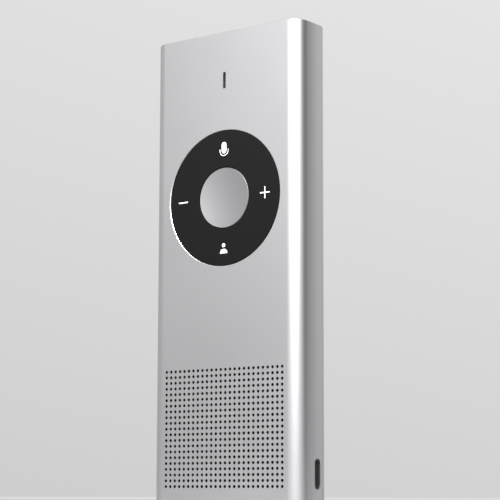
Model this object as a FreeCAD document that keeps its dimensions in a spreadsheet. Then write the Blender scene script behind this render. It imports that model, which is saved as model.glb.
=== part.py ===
import FreeCAD, Part
import Sketcher
import os
from types import SimpleNamespace
from FreeCAD import Placement, Rotation, Vector

# A slim hand-held translator: an aluminium tube closed by two plastic caps, with a rocking key
# ring and a dished centre button in its face, a loudspeaker behind a grid of small holes, and a
# charging port in its right side. +Z runs up its length, its face looks towards -Y, and the
# origin is the middle of its bottom end.

# Driving dimensions, in millimetres
DIMENSIONS = {
    "body_width": 44.8,
    "body_depth": 12.7,
    "body_length": 116.6,
    "edge_radius": 3.6,
    "wall": 1.2,
    "end_chamfer": 0.2,
    "hole_pitch": 1.4,
    "hole_radius": 0.375,
    "grille_columns": 26,
    "grille_rows": 21,
    "grille_bottom": 4.9,
    "ring_height": 74.9,
    "opening_radius": 16.83,
    "opening_chamfer": 0.1,
    "ring_gap": 0.13,
    "button_radius": 7.455,
    "button_gap": 0.145,
    "dish_depth": 0.45,
    "dish_radius": 60.0,
    "slit_height": 104.3,
    "slit_length": 4.06,
    "slit_width": 0.85,
    "port_height": 7.81,
    "port_length": 7.22,
    "port_width": 2.3,
    "port_offset": 1.07,
    "cap_thickness": 1.8,
    "cap_recess": 0.1,
    "slide_gap": 0.1,
    "board_front": -3.1,
    "board_thickness": 0.8,
    "board_bottom": 36.5,
    "board_top": 110.5,
    "dome_height": 0.35,
    "dome_radius": 2.5,
    "dome_sheet": 0.07,
    "key_circle": 11.2,
    "pivot_depth": -3.95,
    "spring_sheet": 0.2,
    "legend_depth": 0.15,
    "battery_width": 33.0,
    "battery_depth": 5.2,
    "battery_length": 62.0,
    "battery_bottom": 38.0,
    "speaker_width": 38.6,
    "speaker_bottom": 3.2,
    "speaker_top": 34.6,
    "screw_radius": 0.65,
    "screw_head": 1.25,
}

doc = FreeCAD.newDocument("Translator")
sheet = doc.addObject("Spreadsheet::Sheet", "Sizes")
for row, (alias, number) in enumerate(DIMENSIONS.items(), start=1):
    sheet.set(f"A{row}", alias)
    sheet.set(f"B{row}", str(number))
    sheet.setAlias(f"B{row}", alias)
doc.recompute()


class Size:
    """A length that knows both its number and the expression that binds it to the sheet."""

    def __init__(self, number, text=None):
        self.number = float(number)
        self.text = text or f"({self.number!r})"

    @staticmethod
    def of(value):
        return value if isinstance(value, Size) else Size(value)

    def joined(self, sign, other, number):
        return Size(number, f"({self.text} {sign} {other.text})")

    def __add__(self, other):
        other = Size.of(other)
        return self.joined("+", other, self.number + other.number)

    def __sub__(self, other):
        other = Size.of(other)
        return self.joined("-", other, self.number - other.number)

    def __mul__(self, other):
        other = Size.of(other)
        return self.joined("*", other, self.number * other.number)

    def __truediv__(self, other):
        other = Size.of(other)
        return self.joined("/", other, self.number / other.number)

    def __radd__(self, other):
        return Size.of(other) + self

    def __rsub__(self, other):
        return Size.of(other) - self

    def __rmul__(self, other):
        return Size.of(other) * self

    def __neg__(self):
        return Size(0) - self


S = SimpleNamespace(**{name: Size(number, f"Sizes.{name}") for name, number in DIMENSIONS.items()})

# Planes and places that several pieces share
HALF_WIDTH = S.body_width / 2
FRONT = -S.body_depth / 2
BACK = S.body_depth / 2
INNER_FRONT = FRONT + S.wall
INNER_BACK = BACK - S.wall
INNER_HALF = HALF_WIDTH - S.wall
INNER_RADIUS = S.edge_radius - S.wall
BOARD_BACK = S.board_front + S.board_thickness
DOME_TOP = S.board_front - S.dome_height
KEY_FOOT = DOME_TOP - 0.02
TRAY_FLOOR = INNER_BACK - 0.85
GRILLE_HALF = (S.grille_columns - 1) * S.hole_pitch / 2
CAP_INSIDE = S.cap_recess + S.cap_thickness
TOP_INSIDE = S.body_length - CAP_INSIDE
RING_RADIUS = S.opening_radius - S.ring_gap
RING_INNER = S.button_radius + S.button_gap

# Places of the screws and other fixings, from the middle of the foot
TOP_SCREW_X = 12.0
BOTTOM_SCREW_X = 5.5
CAP_SCREW_Y = 2.2
FIXING_X = 18.4
BOARD_SCREW_HEIGHTS = (39.5, 98.0)
STAKE_HEIGHTS = (58.0, 91.8)
BOARD_HALF_WIDTH = 19.9
SPEAKER_RIB_X = 7.5
SYMBOL_STROKE = 0.34

AXES = {"X": Vector(1, 0, 0), "Y": Vector(0, 1, 0), "Z": Vector(0, 0, 1)}
TURNS = {
    "X": Rotation(AXES["Y"], 90),
    "Y": Rotation(AXES["X"], -90),
    "Z": Rotation(),
}
NODES = []


def bind(part, prop, value):
    """Bind a property to a size, or set it where the size is a bare number."""
    part.setExpression(prop, Size.of(value).text)


def place(part, x, y, z):
    for axis, value in zip("xyz", (x, y, z)):
        bind(part, f"Placement.Base.{axis}", value)


def node(part, name):
    """Mark a finished piece as one of the model's nodes."""
    part.Label = name
    NODES.append(part)
    return part


# Plain solids and booleans


def box(name, x, y, z):
    """A box between the low and high coordinates given for each axis."""
    part = doc.addObject("Part::Box", name)
    for prop, (low, high) in zip(("Length", "Width", "Height"), (x, y, z)):
        bind(part, prop, Size.of(high) - low)
    place(part, x[0], y[0], z[0])
    return part


def rod(name, axis, radius, start, length):
    """A cylinder that runs from its start point along an axis."""
    part = doc.addObject("Part::Cylinder", name)
    part.Placement = Placement(Vector(), TURNS[axis])
    bind(part, "Radius", radius)
    bind(part, "Height", length)
    place(part, *start)
    return part


def fuse(name, parts):
    joined = doc.addObject("Part::MultiFuse", name)
    joined.Shapes = parts
    return joined


def cut(name, base, tools):
    part = doc.addObject("Part::Cut", name)
    part.Base = base
    part.Tool = tools[0] if len(tools) == 1 else fuse(f"{name}_tools", tools)
    return part


def common(name, base, tool):
    part = doc.addObject("Part::Common", name)
    part.Base = base
    part.Tool = tool
    return part


def group(name, parts):
    """Several like pieces that share one node and stay separate solids."""
    whole = doc.addObject("Part::Compound", name)
    whole.Links = parts
    return node(whole, name)


# Bodies with constrained sketches


def new_body(name):
    return doc.addObject("PartDesign::Body", name)


def new_sketch(body, name, role, offset=0.0):
    plane = next(f for f in body.Origin.OriginFeatures if f.Role == role)
    drawing = body.newObject("Sketcher::SketchObject", name)
    drawing.AttachmentSupport = (plane, [""])
    drawing.MapMode = "FlatFace"
    bind(drawing, "AttachmentOffset.Base.z", offset)
    return drawing


def drive(drawing, kind, where, value):
    """Add a dimension to a sketch and bind it to its size."""
    value = Size.of(value)
    index = drawing.addConstraint(Sketcher.Constraint(kind, *where, value.number))
    drawing.setExpression(f"Constraints[{index}]", value.text)


def relate(drawing, kind, *where):
    drawing.addConstraint(Sketcher.Constraint(kind, *where))


def draw_circle(drawing, radius, u=0.0, v=0.0):
    u, v, radius = Size.of(u), Size.of(v), Size.of(radius)
    at = Vector(u.number, v.number, 0)
    index = drawing.addGeometry(Part.Circle(at, AXES["Z"], radius.number))
    drive(drawing, "Radius", (index,), radius)
    drive(drawing, "DistanceX", (-1, 1, index, 3), u)
    drive(drawing, "DistanceY", (-1, 1, index, 3), v)


def draw_polygon(drawing, points):
    """A closed outline of straight lines through points given as pairs of sizes."""
    points = [(Size.of(u), Size.of(v)) for u, v in points]
    ends = [Vector(u.number, v.number, 0) for u, v in points]
    count = len(ends)
    first = drawing.GeometryCount
    for i in range(count):
        drawing.addGeometry(Part.LineSegment(ends[i], ends[(i + 1) % count]))
    for i, (u, v) in enumerate(points):
        relate(drawing, "Coincident", first + i, 2, first + (i + 1) % count, 1)
        drive(drawing, "DistanceX", (-1, 1, first + i, 1), u)
        drive(drawing, "DistanceY", (-1, 1, first + i, 1), v)


def draw_rectangle(drawing, u0, u1, v0, v1):
    draw_polygon(drawing, [(u0, v0), (u1, v0), (u1, v1), (u0, v1)])


def extrude(body, name, drawing, length, towards_normal=True):
    pad = body.newObject("PartDesign::Pad", name)
    pad.Profile = drawing
    bind(pad, "Length", length)
    pad.Reversed = not towards_normal
    drawing.Visibility = False
    return pad


def pocket(body, name, drawing, towards_normal):
    """Cut right through to one side of the sketch."""
    hole = body.newObject("PartDesign::Pocket", name)
    hole.Profile = drawing
    hole.Type = "ThroughAll"
    hole.Reversed = towards_normal
    return hole


def edges_along(shape, axis, chosen=lambda edge: True):
    """The names of a shape's straight edges along an axis."""
    names = []
    for i, edge in enumerate(shape.Edges, start=1):
        if len(edge.Vertexes) == 2 and isinstance(edge.Curve, Part.Line):
            run = edge.Vertexes[1].Point - edge.Vertexes[0].Point
            if run.cross(AXES[axis]).Length < 1e-6 and chosen(edge):
                names.append(f"Edge{i}")
    return names


def round_edges(body, name, feature, axis, radius, chosen=lambda edge: True):
    doc.recompute()
    rounding = body.newObject("PartDesign::Fillet", name)
    rounding.Base = (feature, edges_along(feature.Shape, axis, chosen))
    bind(rounding, "Radius", radius)
    return rounding


def bevel(body, name, feature, size, chosen):
    doc.recompute()
    found = [f"Edge{i}" for i, edge in enumerate(feature.Shape.Edges, start=1) if chosen(edge)]
    chamfer = body.newObject("PartDesign::Chamfer", name)
    chamfer.Base = (feature, found)
    bind(chamfer, "Size", size)
    return chamfer


def rounded_bar(name, half_width, y, z, radius):
    """A bar along Z with its four long edges rounded."""
    body = new_body(name)
    outline = new_sketch(body, f"{name}_outline", "XY_Plane", z[0])
    draw_rectangle(outline, -Size.of(half_width), half_width, y[0], y[1])
    bar = extrude(body, f"{name}_bar", outline, Size.of(z[1]) - z[0])
    round_edges(body, f"{name}_corners", bar, "Z", radius)
    return body


def cavity_bar(name, gap, low, high):
    """The inside of the tube, drawn in by a gap, between two heights."""
    y = (INNER_FRONT + gap, INNER_BACK - gap)
    return rounded_bar(name, INNER_HALF - gap, y, (low, high), INNER_RADIUS - gap)


# Housing


def make_body_shell():
    """The aluminium tube, with every opening cut in it."""
    body = new_body("shell")
    outline = new_sketch(body, "shell_outline", "XY_Plane")
    draw_rectangle(outline, -HALF_WIDTH, HALF_WIDTH, FRONT, BACK)
    bar = extrude(body, "shell_bar", outline, S.body_length)
    bar = round_edges(body, "shell_corners", bar, "Z", S.edge_radius)
    bar = bevel(body, "shell_ends", bar, S.end_chamfer, lambda e: e.BoundBox.ZLength < 1e-6)

    hollow = new_sketch(body, "hollow_outline", "XY_Plane")
    draw_rectangle(hollow, -INNER_HALF, INNER_HALF, INNER_FRONT, INNER_BACK)
    hollowed = pocket(body, "hollow", hollow, True)
    inside = HALF_WIDTH.number - 1.0
    round_edges(
        body,
        "hollow_corners",
        hollowed,
        "Z",
        INNER_RADIUS,
        lambda e: abs(e.Vertexes[0].Point.x) < inside and e.Length > 100,
    )

    opening = new_sketch(body, "ring_opening_outline", "XZ_Plane")
    draw_circle(opening, S.opening_radius, 0, S.ring_height)
    opened = pocket(body, "ring_opening", opening, True)
    front = FRONT.number
    bevel(
        body,
        "ring_opening_edge",
        opened,
        S.opening_chamfer,
        lambda e: isinstance(e.Curve, Part.Circle)
        and abs(e.Curve.Radius - S.opening_radius.number) < 1e-4
        and abs(e.BoundBox.YMin - front) < 1e-4,
    )

    slit = new_sketch(body, "slit_outline", "XZ_Plane")
    half_slit = S.slit_length / 2
    slot_bounds = (S.slit_height - half_slit, S.slit_height + half_slit)
    draw_rectangle(slit, -S.slit_width / 2, S.slit_width / 2, *slot_bounds)
    pocket(body, "slit", slit, True)

    port = new_sketch(body, "port_outline", "YZ_Plane")
    half_port = S.port_length / 2
    across = (S.port_offset - S.port_width / 2, S.port_offset + S.port_width / 2)
    draw_rectangle(port, *across, S.port_height - half_port, S.port_height + half_port)
    port_cut = pocket(body, "port_slot", port, True)
    full_round = S.port_width / 2 - 0.01
    port_top = (S.port_height + half_port).number
    port_foot = (S.port_height - half_port).number
    round_edges(
        body,
        "port_slot_ends",
        port_cut,
        "X",
        full_round,
        lambda e: min(abs(e.Vertexes[0].Z - port_top), abs(e.Vertexes[0].Z - port_foot)) < 1e-4,
    )

    hole = new_sketch(body, "grille_hole_outline", "XZ_Plane")
    draw_circle(hole, S.hole_radius, -GRILLE_HALF, S.grille_bottom)
    first_hole = pocket(body, "grille_hole", hole, True)
    doc.recompute()
    grid = body.newObject("PartDesign::MultiTransform", "grille")
    grid.Originals = [first_hole]
    steps = []
    for name, direction, count in (
        ("grille_row", "H_Axis", S.grille_columns),
        ("grille_column", "V_Axis", S.grille_rows),
    ):
        step = body.newObject("PartDesign::LinearPattern", name)
        step.Direction = (hole, [direction])
        bind(step, "Length", (count - 1) * S.hole_pitch)
        bind(step, "Occurrences", count)
        steps.append(step)
    grid.Transformations = steps
    body.Tip = grid
    return node(body, "body_shell")


def make_caps():
    """The plastic end caps: each has two counterbored screw holes and a microphone hole."""
    ends = {
        "top_cap": (TOP_INSIDE, S.body_length - S.cap_recess, TOP_SCREW_X, CAP_SCREW_Y, -10.5, -1.7, 1),
        "bottom_cap": (S.cap_recess, CAP_INSIDE, BOTTOM_SCREW_X, CAP_SCREW_Y, 10.5, 1.6, -1),
    }
    for name, (low, high, screw_x, screw_y, mic_x, mic_y, outward) in ends.items():
        blank = cavity_bar(f"{name}_blank", S.slide_gap, low, high)
        face = high if outward > 0 else low
        bore_from = face - S.screw_head * 0.8 if outward > 0 else low
        tools = []
        for side in (-1, 1):
            x = side * screw_x
            tag = f"{name}_{'left' if side < 0 else 'right'}"
            tools.append(rod(f"{tag}_hole", "Z", S.screw_radius + 0.1, (x, screw_y, low), high - low))
            seat = (x, screw_y, bore_from)
            tools.append(rod(f"{tag}_seat", "Z", S.screw_head + 0.15, seat, S.screw_head * 0.8))
        tools.append(rod(f"{name}_sound_hole", "Z", 0.5, (mic_x, mic_y, low), high - low))
        node(cut(f"{name}_cut", blank, tools), name)


def make_cap_screws():
    """Four flat-headed screws with hexagon sockets, sunk in the caps."""
    head_height = S.screw_head * 0.64
    screws = []
    for end, x, face, inward in (
        ("top", TOP_SCREW_X, S.body_length - S.cap_recess - S.screw_head * 0.16, -1),
        ("bottom", BOTTOM_SCREW_X, S.cap_recess + S.screw_head * 0.16, 1),
    ):
        for side in (-1, 1):
            tag = f"{end}_screw_{'left' if side < 0 else 'right'}"
            at = side * x
            shank_length = 5.0
            head_low = face - head_height if inward < 0 else face
            shank_low = face - head_height - shank_length if inward < 0 else face + head_height
            head = rod(f"{tag}_head", "Z", S.screw_head, (at, CAP_SCREW_Y, head_low), head_height)
            shank = rod(f"{tag}_shank", "Z", S.screw_radius, (at, CAP_SCREW_Y, shank_low), shank_length)
            socket = doc.addObject("Part::Prism", f"{tag}_socket")
            socket.Polygon = 6
            bind(socket, "Circumradius", S.screw_head * 0.5)
            bind(socket, "Height", 0.5)
            place(socket, at, CAP_SCREW_Y, face - 0.5 if inward < 0 else face)
            screws.append(cut(tag, fuse(f"{tag}_solid", [head, shank]), [socket]))
    group("cap_screws", screws)


def make_chassis_tray():
    """The plastic tray that slides into the tube and carries the boards, cell and speaker."""
    low = CAP_INSIDE
    high = TOP_INSIDE
    solids = [
        box("tray_floor", (-INNER_HALF, INNER_HALF), (TRAY_FLOOR, INNER_BACK), (low, high)),
    ]
    rail = INNER_HALF - 1.1
    for side, (x0, x1) in {"left": (-INNER_HALF, -rail), "right": (rail, INNER_HALF)}.items():
        solids.append(box(f"tray_rail_{side}", (x0, x1), (S.board_front, TRAY_FLOOR), (low, high)))
        centre = -FIXING_X if side == "left" else FIXING_X
        for level, z in zip(("low", "high"), BOARD_SCREW_HEIGHTS):
            at = (centre, BOARD_BACK, z)
            solids.append(rod(f"board_post_{side}_{level}", "Y", 1.3, at, TRAY_FLOOR - BOARD_BACK))
        rib = -SPEAKER_RIB_X if side == "left" else SPEAKER_RIB_X
        rib_y = (-0.6, TRAY_FLOOR)
        solids.append(box(f"speaker_rib_{side}", (rib - 0.5, rib + 0.5), rib_y, (15.0, 31.0)))
    for x in (-TOP_SCREW_X, TOP_SCREW_X):
        tag = "left" if x < 0 else "right"
        solids.append(box(f"cap_block_top_{tag}", (x - 1.7, x + 1.7), (0.5, TRAY_FLOOR), (108.5, high)))
    for x in (-BOTTOM_SCREW_X, BOTTOM_SCREW_X):
        tag = "left" if x < 0 else "right"
        block_x = (x - 1.7, x + 1.7)
        solids.append(box(f"cap_block_bottom_{tag}", block_x, (0.5, TRAY_FLOOR), (low, 8.5)))
    for x in (10.0, 18.0):
        tag = "inner" if x < 14 else "outer"
        solids.append(rod(f"port_post_{tag}", "Y", 1.0, (x, 3.1, 7.8), TRAY_FLOOR - 3.1))
    raw = fuse("tray_raw", solids)
    trimmed = common("tray_trimmed", raw, cavity_bar("tray_limits", S.slide_gap, low, high))

    tools = [
        box("port_window", (15.6, INNER_HALF), (-0.3, 3.2), (2.6, 13.0)),
    ]
    for x in (-FIXING_X, FIXING_X):
        for z in BOARD_SCREW_HEIGHTS:
            tag = f"{'left' if x < 0 else 'right'}_{'low' if z < 50 else 'high'}"
            at = (x, BOARD_BACK, z)
            tools.append(rod(f"post_bore_{tag}", "Y", 0.62, at, 4.0))
    for x, start in ((TOP_SCREW_X, TOP_INSIDE - 6.0), (BOTTOM_SCREW_X, CAP_INSIDE)):
        for side in (-1, 1):
            tag = f"{'top' if x > 8 else 'bottom'}_{'left' if side < 0 else 'right'}"
            at = (side * x, CAP_SCREW_Y, start)
            tools.append(rod(f"block_bore_{tag}", "Z", S.screw_radius + 0.03, at, 6.0))
    node(cut("tray_cut", trimmed, tools), "chassis_tray")


# Electronics


def make_main_board():
    """The main circuit board, bored for its screws and for the key frame's stakes."""
    x = (-BOARD_HALF_WIDTH, BOARD_HALF_WIDTH)
    z = (S.board_bottom, S.board_top)
    board = box("board_blank", x, (S.board_front, BOARD_BACK), z)
    bores = [(height, 0.75) for height in BOARD_SCREW_HEIGHTS]
    bores += [(height, 0.65) for height in STAKE_HEIGHTS]
    holes = []
    for hole_x in (-FIXING_X, FIXING_X):
        for hole_z, radius in bores:
            tag = f"{'left' if hole_x < 0 else 'right'}_{int(hole_z)}"
            at = (hole_x, S.board_front, hole_z)
            holes.append(rod(f"board_hole_{tag}", "Y", radius, at, S.board_thickness))
    node(cut("board_cut", board, holes), "main_board")


def make_board_screws():
    screws = []
    for x in (-FIXING_X, FIXING_X):
        for z in BOARD_SCREW_HEIGHTS:
            tag = f"board_screw_{'left' if x < 0 else 'right'}_{'low' if z < 50 else 'high'}"
            head = rod(f"{tag}_head", "Y", 1.15, (x, S.board_front - 0.7, z), 0.7)
            shank = rod(f"{tag}_shank", "Y", 0.6, (x, S.board_front, z), 4.2)
            socket = doc.addObject("Part::Prism", f"{tag}_socket")
            socket.Polygon = 6
            socket.Placement = Placement(Vector(), TURNS["Y"])
            bind(socket, "Circumradius", 0.55)
            bind(socket, "Height", 0.4)
            place(socket, x, S.board_front - 0.7, z)
            screws.append(cut(tag, fuse(f"{tag}_solid", [head, shank]), [socket]))
    group("board_screws", screws)


def make_key_domes():
    """Five snap domes on the board: one under the centre button and four under the ring."""
    height = S.dome_height.number
    bend = (S.dome_radius.number**2 + height**2) / (2 * height)
    domes = []
    places = {
        "centre": (0, S.ring_height),
        "upper": (0, S.ring_height + S.key_circle),
        "lower": (0, S.ring_height - S.key_circle),
        "left": (-S.key_circle, S.ring_height),
        "right": (S.key_circle, S.ring_height),
    }
    for tag, (x, z) in places.items():
        outer = doc.addObject("Part::Sphere", f"dome_{tag}_outer")
        bind(outer, "Radius", bend)
        place(outer, x, DOME_TOP + bend, z)
        inner = doc.addObject("Part::Sphere", f"dome_{tag}_inner")
        bind(inner, "Radius", bend - S.dome_sheet)
        place(inner, x, DOME_TOP + bend, z)
        cap = rod(f"dome_{tag}_disc", "Y", S.dome_radius, (x, DOME_TOP, z), S.dome_height)
        domes.append(cut(f"dome_{tag}", common(f"dome_{tag}_cap", cap, outer), [inner]))
    group("key_domes", domes)


def make_board_parts():
    """The screening can with the chips, the status light and the microphones."""
    can_z = (38.5, 53.0)
    can = box("can_outer", (-16.0, 4.0), (S.board_front - 1.4, S.board_front), can_z)
    room = box("can_inner", (-15.8, 3.8), (S.board_front - 1.2, S.board_front), (38.7, 52.8))
    node(cut("can_cut", can, [room]), "screening_can")

    chips = []
    for tag, x, z, width, length, height in (
        ("processor", -9.5, 46.0, 9.0, 9.0, 0.9),
        ("memory", -0.4, 47.0, 6.0, 8.0, 0.8),
        ("power", 10.5, 48.0, 5.0, 5.0, 0.8),
        ("audio", 10.5, 41.0, 4.0, 4.0, 0.8),
        ("radio", -8.0, 100.5, 7.0, 6.0, 0.9),
        ("crystal", 4.5, 99.5, 2.5, 2.0, 0.6),
    ):
        across = (x - width / 2, x + width / 2)
        up = (z - length / 2, z + length / 2)
        chips.append(box(f"chip_{tag}", across, (S.board_front - height, S.board_front), up))
    group("board_chips", chips)

    light_z = (S.slit_height - 0.8, S.slit_height + 0.8)
    node(box("light_chip", (-0.8, 0.8), (S.board_front - 0.6, S.board_front), light_z), "status_light")

    top = box("microphone_top", (-12.2, -8.8), (BOARD_BACK, BOARD_BACK + 1.2), (106.4, 110.3))
    bottom = box("microphone_bottom", (8.8, 12.2), (1.2, 2.3), (3.3, 6.2))
    group("microphones", [top, bottom])

    boots = []
    for tag, x, y, z in (
        ("top", -10.5, (BOARD_BACK, BOARD_BACK + 1.2), (S.board_top, TOP_INSIDE)),
        ("bottom", 10.5, (0.9, 2.3), (CAP_INSIDE, 3.3)),
    ):
        solid = box(f"boot_{tag}_solid", (x - 1.5, x + 1.5), y, z)
        middle = (Size.of(y[0]) + y[1]) / 2
        bore = rod(f"boot_{tag}_bore", "Z", 0.5, (x, middle, z[0]), Size.of(z[1]) - z[0])
        boots.append(cut(f"boot_{tag}", solid, [bore]))
    group("microphone_boots", boots)


def make_antenna():
    low = S.board_top + 0.4
    block = box("antenna_block", (1.0, 17.0), (-4.6, 0.2), (low, TOP_INSIDE))
    relief = box("antenna_relief", (2.4, 15.6), (-3.4, 0.2), (low, TOP_INSIDE - 1.0))
    node(cut("antenna_cut", block, [relief]), "antenna_holder")
    foil_z = (low + 0.3, TOP_INSIDE - 0.3)
    foil = box("foil_sheet", (1.6, 16.4), (-4.7, -4.6), foil_z)
    gaps = [
        box(f"foil_gap_{i}", (3.4 + 2.4 * i, 4.0 + 2.4 * i), (-4.7, -4.6), z)
        for i, z in enumerate([(low, low + 2.4), (low + 1.4, TOP_INSIDE)] * 2)
    ]
    node(cut("foil_cut", foil, gaps), "antenna_foil")


def make_battery():
    """The pouch cell, the foam that holds it, its safety board, plug and two leads."""
    top = S.battery_bottom + S.battery_length
    back = TRAY_FLOOR - 0.4
    front = back - S.battery_depth
    cell = rounded_bar("cell", S.battery_width / 2, (front, back), (S.battery_bottom, top), 1.6)
    node(cell, "battery_cell")
    foam_z = (S.battery_bottom + 3.0, top - 3.0)
    node(box("foam", (-14.0, 14.0), (back, TRAY_FLOOR), foam_z), "battery_foam")
    node(box("safety_board", (-8.0, 8.0), (0.0, 0.6), (top, top + 3.4)), "battery_board")
    plug_z = (top + 4.0, top + 7.0)
    node(box("plug", (-2.2, 2.2), (BOARD_BACK, -1.1), plug_z), "battery_plug")

    leads = []
    bend = 1.4
    for tag, x in (("red", 0.9), ("black", -0.9)):
        start = top + 3.4
        foot = plug_z[0] + 1.5
        rise = foot - bend - start
        straight = rod(f"lead_{tag}_straight", "Z", 0.4, (x, 0.3, start), rise)
        turn = doc.addObject("Part::Torus", f"lead_{tag}_turn")
        bind(turn, "Radius1", bend)
        bind(turn, "Radius2", 0.4)
        bind(turn, "Angle3", 90.0)
        turn.Placement = Placement(Vector(), Rotation(AXES["Y"], AXES["Z"], AXES["X"], "ZXY"))
        place(turn, x, 0.3 - bend, foot - bend)
        leads.append(fuse(f"lead_{tag}", [straight, turn]))
    group("battery_leads", leads)


# Speaker


def make_speaker():
    """The speaker unit in its sealed box, behind a gasket and a dust mesh."""
    half = S.speaker_width / 2
    z = (S.speaker_bottom, S.speaker_top)
    mesh_back = INNER_FRONT + 0.15
    gasket_back = mesh_back + 0.6
    box_back = -0.6
    middle = (S.speaker_bottom + S.speaker_top) / 2
    mesh_half = HALF_WIDTH - S.edge_radius - 0.1
    mesh = box("mesh", (-mesh_half, mesh_half), (INNER_FRONT, mesh_back), z)
    node(mesh, "grille_mesh")

    frame = box("gasket_frame", (-half, half), (mesh_back, gasket_back), z)
    window_z = (S.speaker_bottom + 1.2, S.speaker_top - 1.2)
    window = box("gasket_window", (1.2 - half, half - 1.2), (mesh_back, gasket_back), window_z)
    node(cut("gasket_cut", frame, [window]), "speaker_gasket")

    case = box("case_outer", (-half, half), (gasket_back, box_back), z)
    room_z = (S.speaker_bottom + 0.8, S.speaker_top - 0.8)
    room = box("case_room", (0.8 - half, half - 0.8), (gasket_back + 0.8, box_back - 0.8), room_z)
    seat_z = (middle - 9.0, middle + 9.0)
    seat = box("case_seat", (-13.0, 13.0), (gasket_back, gasket_back + 0.8), seat_z)
    node(cut("case_cut", case, [room, seat]), "speaker_box")

    basket_y = (gasket_back + 0.1, gasket_back + 1.5)
    basket = box("basket_outer", (-12.95, 12.95), basket_y, (middle - 8.95, middle + 8.95))
    bowl = box("basket_bowl", (-12.0, 12.0), (basket_y[0], basket_y[1] - 0.4), (middle - 8.0, middle + 8.0))
    throat = rod("basket_throat", "Y", 4.3, (0, basket_y[1] - 0.4, middle), 0.4)
    node(cut("basket_cut", basket, [bowl, throat]), "speaker_basket")

    cone_y = (basket_y[0] + 0.25, basket_y[0] + 0.4)
    cone = box("cone_plate", (-10.2, 10.2), cone_y, (middle - 6.2, middle + 6.2))
    node(cone, "speaker_cone")
    edge = box("edge_outer", (-12.0, 12.0), cone_y, (middle - 8.0, middle + 8.0))
    edge_hole = box("edge_inner", (-10.2, 10.2), cone_y, (middle - 6.2, middle + 6.2))
    node(cut("edge_cut", edge, [edge_hole]), "speaker_surround")

    coil_start = (0, cone_y[1], middle)
    coil = rod("coil_outer", "Y", 4.0, coil_start, 1.0)
    core = rod("coil_inner", "Y", 3.7, coil_start, 1.0)
    node(cut("coil_cut", coil, [core]), "voice_coil")
    magnet_y = (basket_y[1], basket_y[1] + 1.2)
    magnet = box("magnet_block", (-7.0, 7.0), magnet_y, (middle - 5.0, middle + 5.0))
    node(magnet, "speaker_magnet")

    leads = [
        rod(f"speaker_lead_{i}", "Z", 0.3, (x, BOARD_BACK + 0.3, S.speaker_top), 5.4)
        for i, x in enumerate((-6.0, -4.6))
    ]
    group("speaker_leads", leads)


# Charging port


def make_port():
    """The socket behind the side slot, on its own small board, joined by a flat cable."""
    back = S.port_offset + S.port_width / 2 + 0.08
    front = S.port_offset - S.port_width / 2 - 0.08
    half = S.port_length / 2 + 0.08
    outside = INNER_HALF - 0.1
    inside = 15.9
    z = (S.port_height - half, S.port_height + half)
    shell = box("socket_outer", (inside, outside), (front, back), z)
    room_z = (z[0] + 0.25, z[1] - 0.25)
    room = box("socket_room", (inside + 0.6, outside), (front + 0.25, back - 0.25), room_z)
    node(cut("socket_cut", shell, [room]), "port_socket")
    tongue_z = (S.port_height - 2.2, S.port_height + 2.2)
    tongue_y = (S.port_offset - 0.1, S.port_offset + 0.45)
    node(box("tongue", (inside + 0.6, outside - 0.9), tongue_y, tongue_z), "port_tongue")
    node(box("port_board_blank", (8.0, 19.6), (back, 3.1), (3.3, 12.6)), "port_board")

    body = new_body("flat_cable")
    path = new_sketch(body, "flat_cable_side", "YZ_Plane", 9.0)
    thick = 0.12
    foot = (back - thick, back)
    cross = (36.0, 36.0 + thick)
    rise = (BOARD_BACK, BOARD_BACK + thick)
    draw_polygon(
        path,
        [
            (foot[0], 10.0),
            (foot[1], 10.0),
            (foot[1], 35.4),
            (foot[1] - 0.6, cross[1]),
            (rise[1] + 0.6, cross[1]),
            (rise[1], 36.8),
            (rise[1], 41.0),
            (rise[0], 41.0),
            (rise[0], 36.6),
            (rise[0] + 0.6, cross[0]),
            (foot[0] - 0.6, cross[0]),
            (foot[0], 35.2),
        ],
    )
    extrude(body, "flat_cable_pad", path, 4.0)
    node(body, "flat_cable")


# Status light


def make_light_guide():
    """A smoked clear bar behind the slit, with a flange glued inside the wall."""
    half = S.slit_length / 2
    clear = 0.02
    z = (S.slit_height - half + clear, S.slit_height + half - clear)
    width = S.slit_width / 2 - clear
    bar = box("guide_bar", (-width, width), (FRONT + 0.1, INNER_FRONT), z)
    flange_z = (S.slit_height - half - 1.0, S.slit_height + half + 1.0)
    flange = box("guide_flange", (-1.6, 1.6), (INNER_FRONT, INNER_FRONT + 0.7), flange_z)
    stem_z = (S.slit_height - 1.0, S.slit_height + 1.0)
    stem = box("guide_stem", (-0.9, 0.9), (INNER_FRONT + 0.7, S.board_front - 0.65), stem_z)
    node(fuse("guide", [bar, flange, stem]), "light_guide")


# Keys


def make_key_frame():
    """The frame round the ring, with two rests for the spring plate."""
    z = (S.ring_height - 19.4, S.ring_height + 19.4)
    blank = cavity_bar("key_frame_blank", S.slide_gap, *z)
    slab = box("key_frame_slab", (-INNER_HALF, INNER_HALF), (INNER_FRONT, S.board_front), z)
    plate = common("key_frame_plate", blank, slab)
    well = rod("key_frame_well", "Y", 18.2, (0, INNER_FRONT, S.ring_height), S.board_front - INNER_FRONT)
    rests = []
    stakes = []
    for side, tag in ((-1, "left"), (1, "right")):
        x = sorted((side * 16.4, side * 18.6))
        rest_y = (S.pivot_depth + S.spring_sheet / 2 + 0.02, S.board_front)
        rest_z = (S.ring_height - 0.5, S.ring_height + 0.5)
        rests.append(box(f"rest_{tag}", x, rest_y, rest_z))
        for z_stake in STAKE_HEIGHTS:
            name = f"stake_{tag}_{int(z_stake)}"
            at = (side * FIXING_X, S.board_front, z_stake)
            stakes.append(rod(name, "Y", 0.6, at, S.board_thickness + 0.3))
    frame = cut("key_frame_cut", plate, [well])
    node(fuse("key_frame_whole", [frame] + rests + stakes), "key_frame")


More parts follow.
